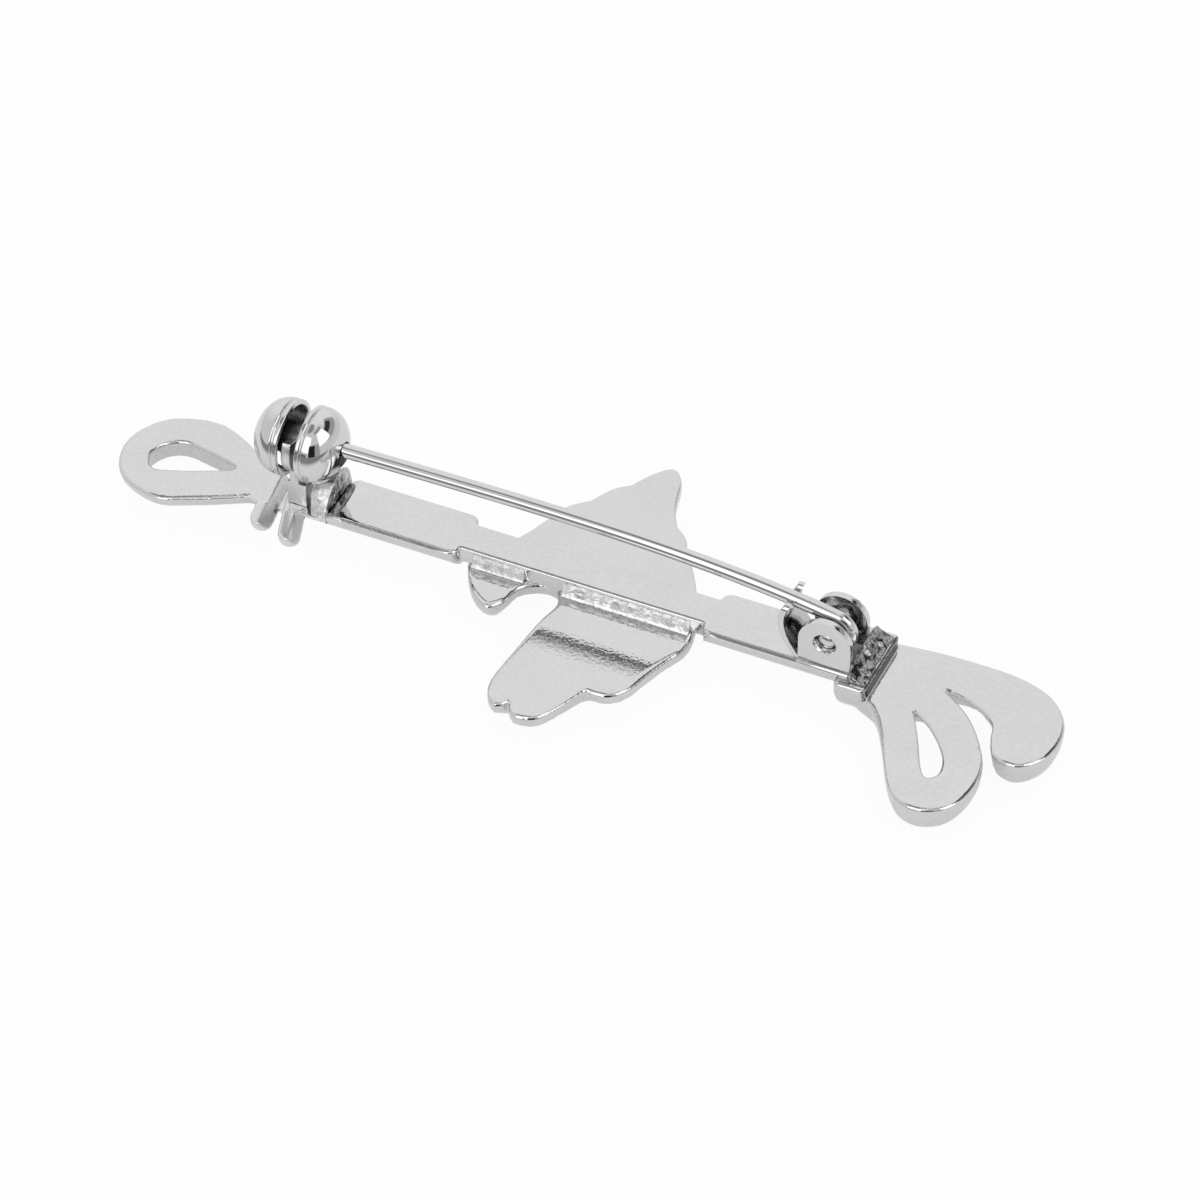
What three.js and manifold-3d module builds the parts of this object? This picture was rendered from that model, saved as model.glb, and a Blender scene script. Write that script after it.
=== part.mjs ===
// Stock pin: a brooch for a riding stock tie. A cast hunting-whip bar carries a cast horse head on its
// front, and on its flat back a riveted pin stem and a roll-over ball catch.
// Millimetres. X runs along the bar from the catch to the hinge, Z points out of the back, and in these
// dimensions y = 0 is the bar's axis and z = 0 its flat back. Depths are measured down from a back face.
import * as THREE from 'three';
import { mergeVertices } from 'three/addons/utils/BufferGeometryUtils.js';
import Module from 'manifold-3d';

// Whip stock: the bar with its flat back and rounded front
const STOCK_WIDTH = 5.0;
const STOCK_DEPTH = 2.2;
const STOCK_LEFT = -23.3;
const FERRULE_RIGHT = 21.95;
const SEAT_LEFT = -12.2;
const SEAT_RIGHT = 8.2;
const SEAT_WIDTH = 3.0;
const SEAT_DEPTH = 1.4;
const SHOULDER_RADIUS = 1.1;
const END_CHAMFER = 0.8;

// Lash at the left end: a teardrop loop and two cut tails, set below the stock's back
const LASH_DROP = 1.0;
const LASH_ROOT_LEFT = -30.2;
const LASH_ROOT_LENGTH = 4.0;
const TEARDROP_LEFT = -42.0;
const TEARDROP_RADIUS = 5.0;
const TEARDROP_NECK = 1.9;
const TEARDROP_SIDE = 0.25;
const TEARDROP_ROUND = 1.3;
const TEARDROP_ROUND_INSET = 1.4;
const TEARDROP_WALL_LEFT = 2.5;
const TEARDROP_WALL_SIDE = 3.0;
const TEARDROP_EYE_RIGHT = -32.8;
const TAIL_WIDTH = 1.9;
const TAIL_FLAT = 0.9;
const TAIL_SIDE = 0.3;
const TAIL_ROUND = 0.9;
const TAIL_ROUND_INSET = 0.7;
const TAIL_SLOPE = 48;
const TAIL_GROOVE_WIDTH = 1.35;
const TAIL_GROOVE_DEPTH = 0.8;
const TAIL_GROOVE_FAR = 2.2;
const TAIL_ONE_X = -28.75;
const TAIL_ONE_REACH = 4.55;
const TAIL_ONE_LEAN = 9.9;
const TAIL_TWO_X = -26.8;
const TAIL_TWO_REACH = 5.5;
const TAIL_TWO_LEAN = 18.7;

// Ferrule and the hook and loop at the right end
const FERRULE_RADIUS = 3.5;
const FERRULE_CENTRE_DEPTH = 0.3;
const FERRULE_WIDTH = 2.6;
const FERRULE_EDGE = 0.4;
const END_LENGTH = 14.65;
const END_SPREAD = 16.4;
const END_SIDE = 0.5;
const END_ROUND = 2.1;
const END_ROUND_INSET = 1.1;

// Horse head, a relief casting under the seat of the stock
const HEAD_LENGTH = 30.4;
const HEAD_BREADTH = 19.0;
const HEAD_EDGE = 0.95;
const HEAD_ROUND = 0.7;
const HEAD_ROUND_INSET = 1.2;
const HEAD_RELIEF = 1.35;
const HEAD_GRID = 0.62;
const HEAD_SOLDER_LEG = 0.45;
const HEAD_SOLDER_NEAR_HEIGHT = 1.2;
const HEAD_SOLDER_FAR_HEIGHT = 0.4;
const HEAD_SOLDER_FACE = [-3.5, 7.0];
const HEAD_SOLDER_EAR = [-11.1, -6.7];
const HEAD_SOLDER_NECK = [-9.0, 5.6];

// Pin stem and its hinge
const WIRE_DIAMETER = 1.15;
const WIRE_POINT = 2.2;
const WIRE_TIP_DIAMETER = 0.12;
const RIVET_DIAMETER = 1.3;
const RIVET_X = 18.2;
const RIVET_HEIGHT = 2.35;
const HINGE_OFFSET = -0.5;
const BRACKET_WIDTH = 3.8;
const BRACKET_SHEET = 0.55;
const BRACKET_BASE = 0.35;
const BRACKET_LIP = 0.35;
const CHEEK_RADIUS = 2.1;
const DIMPLE_DIAMETER = 1.9;
const RIVET_RECESS = 0.45;
const RIVET_DOME = 0.22;
const STOP_HEIGHT = 4.7;
const STOP_WIDTH = 3.5;
const STOP_SHEET = 0.5;
const STOP_LEAN = 0.85;
const STOP_BELLY = 1.3;
const STOP_NOTCH_DEPTH = 1.6;
const EYE_CLEARANCE = 0.1;
const RIVET_CLEARANCE = 0.05;
const NOTCH_CLEARANCE = 0.28;
const STEM_LEAVE_ANGLE = 10.5;
const STEM_LEAVE_PULL = 12;
const STEM_ARRIVE_ANGLE = 1.2;
const STEM_ARRIVE_PULL = 16;

// Ball catch
const CATCH_X = -26.25;
const CATCH_HEIGHT = 4.5;
const BALL_RADIUS = 3.05;
const BALL_DEPTH = 2.95;
const BALL_SHEET = 0.45;
const BALL_RIM = 0.6;
const BALL_GROOVE = 0.16;
const BALL_GAP = 1.5;
const SLEEVE_BORE = 1.85;
const SLEEVE_WALL = 0.4;
const SLOT_WIDTH = 1.45;
const WIRE_LIFT = 0.3;
const FORK_SHEET = 0.75;
const FORK_SHIFT = -0.2;
const FORK_RADIUS = 2.5;
const FORK_WRAP = 40;
const FORK_TIP_ANGLE = 30;
const FORK_STEM_WIDTH = 2.6;
const FOOT_LENGTH = 1.65;
const FOOT_WIDTH = 2.6;
const FOOT_HEIGHT = 2.1;
const FORK_CLEARANCE = 0.12;
const BALL_CLEARANCE = 0.05;
const PIN_TIP_SETBACK = 0.5;

// Solder
const CATCH_SOLDER_BULGE = 1.55;
const CATCH_SOLDER_HEIGHT = 3.1;
const CATCH_SOLDER_WIDTH = 4.4;
const CATCH_SOLDER_LEAN = 18;
const CATCH_SOLDER_HOLLOW = [0.7, 3.2];
const CATCH_SOLDER_CLEARANCE = 0.3;
const HINGE_SOLDER_HEIGHT = 1.3;
const HINGE_SOLDER_EDGE = 0.25;
const HINGE_SOLDER_WIDTH = 4.4;
const SOLDER_GAP = 0.02;

const CAST = { color: 0xcfd0d2, roughness: 0.3, metalness: 1 };
const BRIGHT = { color: 0xdcdde0, roughness: 0.12, metalness: 1 };
const SOLDER = { color: 0xb4b5b8, roughness: 0.5, metalness: 1 };

const FAR = 100;
const OVERCUT = 1;
const ROUND_STEPS = 36;
const WIRE_SIDES = 10;
const DOME_STEPS = 7;

const wasm = await Module();
wasm.setup();

// Turns a closed three.js geometry into a solid that can be joined and cut
function solid(geometry) {
  const bare = geometry.index ? geometry.toNonIndexed() : geometry.clone();
  bare.deleteAttribute('normal');
  bare.deleteAttribute('uv');
  const merged = mergeVertices(bare, 1e-4);
  return new wasm.Manifold(new wasm.Mesh({
    numProp: 3,
    vertProperties: new Float32Array(merged.attributes.position.array),
    triVerts: new Uint32Array(merged.index.array),
  }));
}

function geometryOf(body) {
  const mesh = body.getMesh();
  const geometry = new THREE.BufferGeometry();
  geometry.setAttribute('position', new THREE.BufferAttribute(new Float32Array(mesh.vertProperties), 3));
  geometry.setIndex(new THREE.BufferAttribute(new Uint32Array(mesh.triVerts), 1));
  geometry.computeVertexNormals();
  return geometry;
}

function join(bodies) {
  return bodies.reduce((whole, body) => whole.add(body));
}

// A box between two corners
function block(x0, x1, y0, y1, z0, z1) {
  const box = new THREE.BoxGeometry(x1 - x0, y1 - y0, z1 - z0);
  box.translate((x0 + x1) / 2, (y0 + y1) / 2, (z0 + z1) / 2);
  return solid(box);
}

// An outline in plan, drawn in x and y, filled from z0 to z1
function planPrism(shape, z0, z1, curveSegments = 6) {
  const prism = new THREE.ExtrudeGeometry(shape, { depth: z1 - z0, bevelEnabled: false, curveSegments });
  prism.translate(0, 0, z0);
  return solid(prism);
}

// An outline seen from the side, drawn in x and z, filled from y0 to y1
function sidePrism(shape, y0, y1, curveSegments = 8) {
  const prism = new THREE.ExtrudeGeometry(shape, { depth: y1 - y0, bevelEnabled: false, curveSegments });
  prism.rotateX(Math.PI / 2);
  prism.translate(0, y1, 0);
  return solid(prism);
}

// An outline seen along the bar, drawn in y and z, filled from x0 to x1
function endPrism(shape, x0, x1, curveSegments = 16) {
  const prism = new THREE.ExtrudeGeometry(shape, { depth: x1 - x0, bevelEnabled: false, curveSegments });
  prism.applyMatrix4(new THREE.Matrix4().makeBasis(
    new THREE.Vector3(0, 1, 0),
    new THREE.Vector3(0, 0, 1),
    new THREE.Vector3(1, 0, 0),
  ));
  prism.translate(x0, 0, 0);
  return solid(prism);
}

// A profile of radius and place, turned about a line along the bar
function turnedAlongX(profile, centre) {
  const turned = new THREE.LatheGeometry(profile, ROUND_STEPS);
  turned.rotateZ(-Math.PI / 2);
  turned.translate(centre.x, centre.y, centre.z);
  return solid(turned);
}

// A strap with a flat back at backZ, straight sides and a front rounded over to an inset edge
function roundedStrap(shape, backZ, side, round, inset) {
  const pillow = new THREE.ExtrudeGeometry(shape, {
    depth: 2 * side,
    bevelEnabled: true,
    bevelThickness: round,
    bevelSize: inset,
    bevelOffset: -inset,
    bevelSegments: 4,
    curveSegments: 6,
  });
  pillow.translate(0, 0, backZ - side);
  return solid(pillow).subtract(block(-FAR, FAR, -FAR, FAR, backZ, backZ + FAR));
}

function ellipse(cx, cy, rx, ry) {
  return new THREE.Shape().absellipse(cx, cy, rx, ry, 0, 2 * Math.PI, false, 0);
}

function points(list) {
  return list.map(([x, y]) => new THREE.Vector2(x, y));
}

// An outline through runs of points: a run of one point is a straight line to it, a longer run is one
// smooth curve from where the last run ended, and runs meet in a corner
function outline([start, ...runs]) {
  const shape = new THREE.Shape();
  shape.moveTo(...start);
  for (const run of runs) {
    if (run.length === 1) {
      shape.lineTo(...run[0]);
    } else {
      shape.splineThru(points(run));
    }
  }
  return shape;
}

// The stock: its outline in plan, cut to a rounded section, with the seat for the horse head
function stockSolid() {
  const half = STOCK_WIDTH / 2;
  const seat = SEAT_WIDTH / 2;
  const r = SHOULDER_RADIUS;
  const rightEnd = FERRULE_RIGHT - FERRULE_WIDTH / 2;
  const plan = new THREE.Shape();
  plan.moveTo(LASH_ROOT_LEFT, -half);
  plan.lineTo(SEAT_LEFT - r, -half);
  plan.quadraticCurveTo(SEAT_LEFT, -half, SEAT_LEFT, -seat);
  plan.lineTo(SEAT_RIGHT, -seat);
  plan.quadraticCurveTo(SEAT_RIGHT, -half, SEAT_RIGHT + r, -half);
  plan.lineTo(rightEnd, -half);
  plan.lineTo(rightEnd, half);
  plan.lineTo(SEAT_RIGHT + r, half);
  plan.quadraticCurveTo(SEAT_RIGHT, half, SEAT_RIGHT, seat);
  plan.lineTo(SEAT_LEFT, seat);
  plan.quadraticCurveTo(SEAT_LEFT, half, SEAT_LEFT - r, half);
  plan.lineTo(LASH_ROOT_LEFT, half);
  const section = ellipse(0, 0, half, STOCK_DEPTH);
  const round = endPrism(section, LASH_ROOT_LEFT - OVERCUT, rightEnd + OVERCUT);
  const bar = planPrism(plan, -STOCK_DEPTH, 0).intersect(round);
  const headSeat = block(SEAT_LEFT, SEAT_RIGHT, -FAR, FAR, -FAR, -SEAT_DEPTH);
  const step = new THREE.Shape();
  step.moveTo(-FAR, -LASH_DROP);
  step.lineTo(STOCK_LEFT, -LASH_DROP);
  step.lineTo(STOCK_LEFT, -END_CHAMFER / 2);
  step.lineTo(STOCK_LEFT + END_CHAMFER, 0);
  step.lineTo(STOCK_LEFT + END_CHAMFER, FAR);
  step.lineTo(-FAR, FAR);
  return bar.subtract(headSeat).subtract(sidePrism(step, -FAR, FAR));
}

// The teardrop loop of the lash, with a straight-walled eye through it
function teardropSolid() {
  const cx = TEARDROP_LEFT + TEARDROP_RADIUS;
  const rise = TEARDROP_RADIUS;
  const eyeLeft = TEARDROP_LEFT + TEARDROP_WALL_LEFT;
  const eyeRise = TEARDROP_RADIUS - TEARDROP_WALL_SIDE;
  const root = LASH_ROOT_LEFT + LASH_ROOT_LENGTH;
  const shoulder = cx + 0.456 * (LASH_ROOT_LEFT - cx);
  const rim = outline([
    [root, -TEARDROP_NECK],
    [[LASH_ROOT_LEFT, -TEARDROP_NECK]],
    [[shoulder, -0.78 * rise], [cx, -rise], [cx - 0.71 * rise, -0.71 * rise], [TEARDROP_LEFT, 0],
      [cx - 0.71 * rise, 0.71 * rise], [cx, rise], [shoulder, 0.84 * rise],
      [LASH_ROOT_LEFT, TEARDROP_NECK]],
    [[root, TEARDROP_NECK]],
  ]);
  const eyeLength = TEARDROP_EYE_RIGHT - eyeLeft;
  const inEye = ([x, y]) => [eyeLeft + x * eyeLength, y * eyeRise];
  const eyeCorner = [1, 0.45];
  const eye = outline([inEye(eyeCorner), [
    [0.61, 0.72], [0.28, 0.85], [0.08, 0.45], [0, -0.3], [0.13, -0.97], [0.43, -0.7], [0.76, -0.2],
    [0.985, 0.2], eyeCorner,
  ].map(inEye)]);
  const strap = roundedStrap(rim, -LASH_DROP, TEARDROP_SIDE, TEARDROP_ROUND, TEARDROP_ROUND_INSET);
  return strap.subtract(planPrism(eye, -FAR, FAR));
}

// Puts what is drawn at a tail's root, with the tail towards -y, where that tail leaves the bar
function atTail(body, x, lean) {
  const place = new THREE.Matrix4().makeRotationZ(THREE.MathUtils.degToRad(lean));
  place.setPosition(x, 0, -LASH_DROP);
  return body.transform(place.elements);
}

// A cut end of the lash: a thong with a flat back, sloped off along its right edge, that leans from the
// bar's square
function tailSolid(x, reach, lean) {
  const radius = TAIL_WIDTH / 2;
  const shape = new THREE.Shape();
  shape.moveTo(-radius, 0);
  shape.lineTo(-radius, radius - reach);
  shape.absarc(0, radius - reach, radius, Math.PI, 2 * Math.PI, false);
  shape.lineTo(radius, 0);
  const slope = new THREE.BoxGeometry(FAR, FAR, FAR);
  slope.translate(FAR / 2, 0, FAR / 2);
  slope.rotateY(THREE.MathUtils.degToRad(TAIL_SLOPE));
  slope.translate(TAIL_FLAT - radius, 0, 0);
  const thong = roundedStrap(shape, 0, TAIL_SIDE, TAIL_ROUND, TAIL_ROUND_INSET);
  return atTail(thong.subtract(solid(slope)), x, lean);
}

// The groove that carries the first tail's sloped edge on beside the catch's foot
function tailGroove() {
  const left = TAIL_FLAT - TAIL_WIDTH / 2;
  const run = TAIL_GROOVE_DEPTH / Math.tan(THREE.MathUtils.degToRad(TAIL_SLOPE));
  const groove = new THREE.Shape(points([
    [left - run, TAIL_GROOVE_DEPTH],
    [left + run, -TAIL_GROOVE_DEPTH],
    [left + TAIL_GROOVE_WIDTH, -TAIL_GROOVE_DEPTH],
    [left + TAIL_GROOVE_WIDTH, TAIL_GROOVE_DEPTH],
  ]));
  return atTail(sidePrism(groove, -TAIL_ONE_REACH, TAIL_GROOVE_FAR), TAIL_ONE_X, TAIL_ONE_LEAN);
}

function ferruleSolid() {
  const r = FERRULE_RADIUS;
  const half = FERRULE_WIDTH / 2;
  const e = FERRULE_EDGE;
  const profile = new THREE.Shape();
  profile.moveTo(0, -half);
  profile.lineTo(r - e, -half);
  profile.absarc(r - e, -half + e, e, -Math.PI / 2, 0, false);
  profile.absarc(r - e, half - e, e, 0, Math.PI / 2, false);
  profile.lineTo(0, half);
  const centre = new THREE.Vector3(FERRULE_RIGHT - half, 0, -FERRULE_CENTRE_DEPTH);
  const disc = turnedAlongX(profile.getPoints(4), centre);
  return disc.subtract(block(-FAR, FAR, -FAR, FAR, 0, FAR));
}

// The hook and the lower loop at the right end: two straps that part in a narrow slit, drawn from the
// ferrule's right face and fitted to their length and spread
function endStrapsSolid() {
  const drawn = { length: 14.65, spread: 16.4 };
  const along = END_LENGTH / drawn.length;
  const across = END_SPREAD / drawn.spread;
  const fit = (list) => list.map(([x, y]) => [FERRULE_RIGHT + along * x, across * y]);
  const root = -FERRULE_WIDTH / 2 / along;
  const hook = outline([
    ...fit([[root, 3.5]]),
    fit([[2.55, 4.0]]),
    fit([[6.05, 4.15], [9.55, 3.95], [12.35, 2.95], [14.15, 0.9], [14.65, -1.5], [14.05, -3.8], [12.45, -5.1],
      [10.65, -4.65], [9.85, -3.1], [9.35, -1.6], [7.85, -0.5], [5.25, 0.25], [2.05, 0.1]]),
    fit([[root, -0.4]]),
  ]);
  const loop = outline([
    ...fit([[root, 2.6]]),
    fit([[2.85, 1.8]]),
    fit([[5.25, 0.1], [7.35, -1.4], [9.15, -3.6], [10.45, -6.1], [10.65, -8.6], [9.85, -11.0], [8.05, -12.2],
      [6.15, -12.0], [4.65, -10.4], [2.75, -6.8], [1.55, -4.7], [0.55, -3.5]]),
    fit([[root, -2.6]]),
  ]);
  const eyeCorner = [3.65, -2.7];
  const loopEye = outline([
    ...fit([eyeCorner]),
    fit([[5.05, -5.3], [6.35, -8.0], [7.1, -8.8], [7.75, -8.0], [7.25, -6.2], [5.55, -4.1], eyeCorner]),
  ]);
  const strap = (shape) => roundedStrap(shape, -LASH_DROP, END_SIDE, END_ROUND, END_ROUND_INSET);
  return strap(hook).add(strap(loop).subtract(planPrism(loopEye, -FAR, FAR)));
}

function whipBar() {
  return join([
    stockSolid().add(teardropSolid()).subtract(tailGroove()),
    tailSolid(TAIL_ONE_X, TAIL_ONE_REACH, TAIL_ONE_LEAN),
    tailSolid(TAIL_TWO_X, TAIL_TWO_REACH, TAIL_TWO_LEAN),
    ferruleSolid(),
    endStrapsSolid(),
  ]);
}

// The horse's head and neck are drawn full size from the back, nose towards -y and mane towards +y, and
// fitted to their length and breadth
function fitHead([x, y]) {
  const drawn = { length: 30.4, breadth: 19.0 };
  return [x * HEAD_BREADTH / drawn.breadth, y * HEAD_LENGTH / drawn.length];
}

function headOutline() {
  const earTip = [-11.6, -1.4];
  const ear = [[-10.8, -2.9], [-9.6, -4.4], [-8.2, -5.2], [-7.3, -4.2], [-6.95, -2.6], [-6.2, -1.7],
    [-5.0, -1.2], [-4.0, -1.4]];
  const face = [[-3.45, -2.8], [-3.85, -5.0], [-4.15, -8.4], [-4.4, -12.1], [-3.9, -13.9], [-2.95, -14.75]];
  const mouth = [[-2.4, -14.4], [-2.15, -13.95], [-1.85, -14.5]];
  const chin = [[-1.3, -15.1], [-0.4, -15.1], [0.7, -14.5], [1.6, -12.8], [2.55, -10.45]];
  const cheek = [[4.1, -10.4], [5.3, -9.3], [6.0, -7.0], [6.7, -5.0], [7.35, -3.4], [7.3, -1.4], [6.5, 1.0],
    [4.9, 4.2], [2.9, 7.2]];
  const neck = [[2.3, 8.3], [1.2, 9.2]];
  const neckEnd = [[0.4, 10.6], [-0.05, 12.0], [-0.6, 14.0], [-1.5, 15.2], [-2.3, 15.1], [-3.3, 13.8],
    [-4.1, 12.2]];
  const maneLow = [[-5.2, 11.2], [-6.2, 9.2]];
  const maneMiddle = [[-7.5, 7.9], [-8.3, 5.8], [-8.8, 4.3]];
  const maneHigh = [[-9.6, 2.6], [-10.9, 0.7], earTip];
  const runs = [ear, face, mouth, chin, cheek, neck, neckEnd, maneLow, maneMiddle, maneHigh];
  return outline([fitHead(earTip), ...runs.map((run) => run.map(fitHead))]);
}

// The swellings of the relief: middle, half length, half breadth, share of the relief and turn in plan
const HEAD_SWELLINGS = [
  { name: 'cheek', at: [2.5, -6.2], long: 3.5, wide: 3.3, rise: 1 },
  { name: 'nose', at: [-1.9, -8.8], long: 5.4, wide: 1.7, rise: 0.62, turn: -2 },
  { name: 'muzzle', at: [-1.7, -12.5], long: 2.0, wide: 2.1, rise: 0.78 },
  { name: 'jaw', at: [1.0, -9.6], long: 3.4, wide: 1.7, rise: 0.6, turn: -16 },
  { name: 'brow', at: [-1.2, -3.4], long: 2.6, wide: 2.0, rise: 0.85 },
  { name: 'throat', at: [3.8, -0.4], long: 3.8, wide: 2.6, rise: 0.7, turn: 18 },
  { name: 'neck', at: [-0.6, 4.6], long: 6.6, wide: 4.2, rise: 0.95, turn: 9 },
  { name: 'ear', at: [-8.4, -3.0], long: 2.6, wide: 1.2, rise: 0.6, turn: 30 },
  { name: 'forelock', at: [-8.2, 0.4], long: 3.4, wide: 1.5, rise: 0.75, turn: -42 },
  { name: 'first lock', at: [-7.6, 3.6], long: 3.2, wide: 1.3, rise: 0.85, turn: -34 },
  { name: 'second lock', at: [-5.8, 6.8], long: 3.4, wide: 1.4, rise: 0.9, turn: -34 },
  { name: 'third lock', at: [-3.9, 9.8], long: 3.4, wide: 1.4, rise: 0.85, turn: -30 },
  { name: 'last lock', at: [-1.9, 12.4], long: 2.7, wide: 1.3, rise: 0.75, turn: -12 },
];

// How high the relief stands over the rounded plate: the swellings run into each other
function reliefAt(x, y) {
  const blend = 5;
  const [breadth, length] = fitHead([1, 1]);
  const sum = HEAD_SWELLINGS.reduce((total, { at, long, wide, rise, turn = 0 }) => {
    const [cx, cy] = fitHead(at);
    const angle = THREE.MathUtils.degToRad(turn);
    const u = ((x - cx) * Math.cos(angle) + (y - cy) * Math.sin(angle)) / (wide * breadth);
    const v = ((y - cy) * Math.cos(angle) - (x - cx) * Math.sin(angle)) / (long * length);
    const height = rise * Math.sqrt(Math.max(0, 1 - u * u - v * v));
    return total + height ** blend;
  }, 0);
  return HEAD_RELIEF * sum ** (1 / blend);
}

// Distance from a place to the drawn edge, negative outside it
function edgeDistance(edge, x, y) {
  const place = new THREE.Vector3(x, y, 0);
  const nearest = new THREE.Vector3();
  let inside = false;
  const least = edge.reduce((found, start, i) => {
    const end = edge[(i + 1) % edge.length];
    if ((start.y > y) !== (end.y > y)) {
      const crossing = start.x + (end.x - start.x) * (y - start.y) / (end.y - start.y);
      inside = inside !== (x < crossing);
    }
    new THREE.Line3(start, end).closestPointToPoint(place, true, nearest);
    return Math.min(found, nearest.distanceTo(place));
  }, Infinity);
  return inside ? least : -least;
}

// The head: a sheet of fine squares pressed into the relief, trimmed to the outline and flat at the back
function horseHead() {
  const back = -SEAT_DEPTH;
  const shape = headOutline();
  const edge = shape.getPoints(3).map(({ x, y }) => new THREE.Vector3(x, y, 0));
  const size = new THREE.Box3().setFromPoints(edge);
  const [wide, long] = [size.max.x - size.min.x, size.max.y - size.min.y];
  const [columns, rows] = [Math.round(wide / HEAD_GRID), Math.round(long / HEAD_GRID)];
  const sheet = new THREE.BoxGeometry(wide, long, 2 * OVERCUT, columns, rows, 1);
  sheet.translate((size.min.x + size.max.x) / 2, (size.min.y + size.max.y) / 2, back);
  const places = sheet.attributes.position;
  for (let i = 0; i < places.count; i += 1) {
    if (places.getZ(i) < back) {
      const [x, y] = [places.getX(i), places.getY(i)];
      const inset = THREE.MathUtils.clamp(edgeDistance(edge, x, y) / HEAD_ROUND_INSET, -0.5, 1);
      const crown = HEAD_ROUND * (1 - (1 - inset) ** 2);
      places.setZ(i, back - HEAD_EDGE - crown - inset * reliefAt(x, y));
    }
  }
  return solid(sheet).intersect(planPrism(shape, -FAR, back, 4));
}

// A run of solder in the corner between the stock's wall and the head's back, on one side of the stock
function headSolder([x0, x1], side, height) {
  const wall = side * (SEAT_WIDTH / 2 + SOLDER_GAP);
  const floor = -SEAT_DEPTH + SOLDER_GAP;
  const corner = new THREE.Shape();
  corner.moveTo(wall, floor);
  corner.lineTo(wall + side * HEAD_SOLDER_LEG, floor);
  corner.quadraticCurveTo(wall + side * 0.3 * HEAD_SOLDER_LEG, floor + 0.3 * height, wall, floor + height);
  return endPrism(corner, x0, x1, 4);
}

// The pin stem's path: round the rivet, over its top and along the bowed stem to the point
function stemPath(tipX) {
  const radius = RIVET_DIAMETER / 2 + EYE_CLEARANCE + WIRE_DIAMETER / 2;
  const leave = THREE.MathUtils.degToRad(STEM_LEAVE_ANGLE);
  const arrive = THREE.MathUtils.degToRad(STEM_ARRIVE_ANGLE);
  const onEye = (angle) => new THREE.Vector3(
    RIVET_X + radius * Math.cos(angle),
    HINGE_OFFSET,
    RIVET_HEIGHT + radius * Math.sin(angle),
  );
  const eyeSteps = 16;
  const eyeStart = -Math.PI;
  const eyeEnd = Math.PI / 2 - leave;
  const path = [];
  for (let i = 0; i < eyeSteps; i += 1) {
    path.push(onEye(eyeStart + (eyeEnd - eyeStart) * i / eyeSteps));
  }
  const from = onEye(eyeEnd);
  const wireHeight = CATCH_HEIGHT + WIRE_LIFT;
  const to = new THREE.Vector3(CATCH_X + BALL_GAP / 2 + BALL_DEPTH, 0, wireHeight);
  const pullFrom = new THREE.Vector3(-Math.cos(leave), 0, Math.sin(leave)).multiplyScalar(STEM_LEAVE_PULL);
  const pullTo = new THREE.Vector3(Math.cos(arrive), 0, Math.sin(arrive)).multiplyScalar(STEM_ARRIVE_PULL);
  const bow = new THREE.CubicBezierCurve3(from, from.clone().add(pullFrom), to.clone().add(pullTo), to);
  path.push(...bow.getPoints(12));
  path.push(new THREE.Vector3((to.x + tipX) / 2, 0, wireHeight));
  path.push(new THREE.Vector3(tipX, 0, wireHeight));
  return new THREE.CatmullRomCurve3(path, false, 'centripetal');
}

// The pin stem: spring wire with an eye at the rivet and a sharpened point in the catch
function pinStem() {
  const radius = WIRE_DIAMETER / 2;
  const pointBase = CATCH_X - BALL_GAP / 2 - BALL_DEPTH + PIN_TIP_SETBACK + WIRE_POINT;
  const section = new THREE.Shape();
  for (let i = 0; i < WIRE_SIDES; i += 1) {
    const angle = 2 * Math.PI * i / WIRE_SIDES;
    const method = i === 0 ? 'moveTo' : 'lineTo';
    section[method](radius * Math.cos(angle), radius * Math.sin(angle));
  }
  const wire = new THREE.ExtrudeGeometry(section, {
    steps: 72,
    extrudePath: stemPath(pointBase),
    bevelEnabled: false,
  });
  const overlap = 0.05;
  const length = WIRE_POINT + overlap;
  const point = new THREE.CylinderGeometry(WIRE_TIP_DIAMETER / 2, 0.97 * radius, length, WIRE_SIDES);
  point.rotateZ(Math.PI / 2);
  point.translate(pointBase + overlap / 2 - WIRE_POINT / 2, 0, CATCH_HEIGHT + WIRE_LIFT);
  return solid(wire).add(solid(point));
}

// A round bar across the hinge, turned about the rivet's axis from a profile of radius and place
function turnedAcross(profile) {
  const turned = new THREE.LatheGeometry(profile, 24);
  turned.translate(RIVET_X, HINGE_OFFSET, RIVET_HEIGHT);
  return solid(turned);
}

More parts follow.
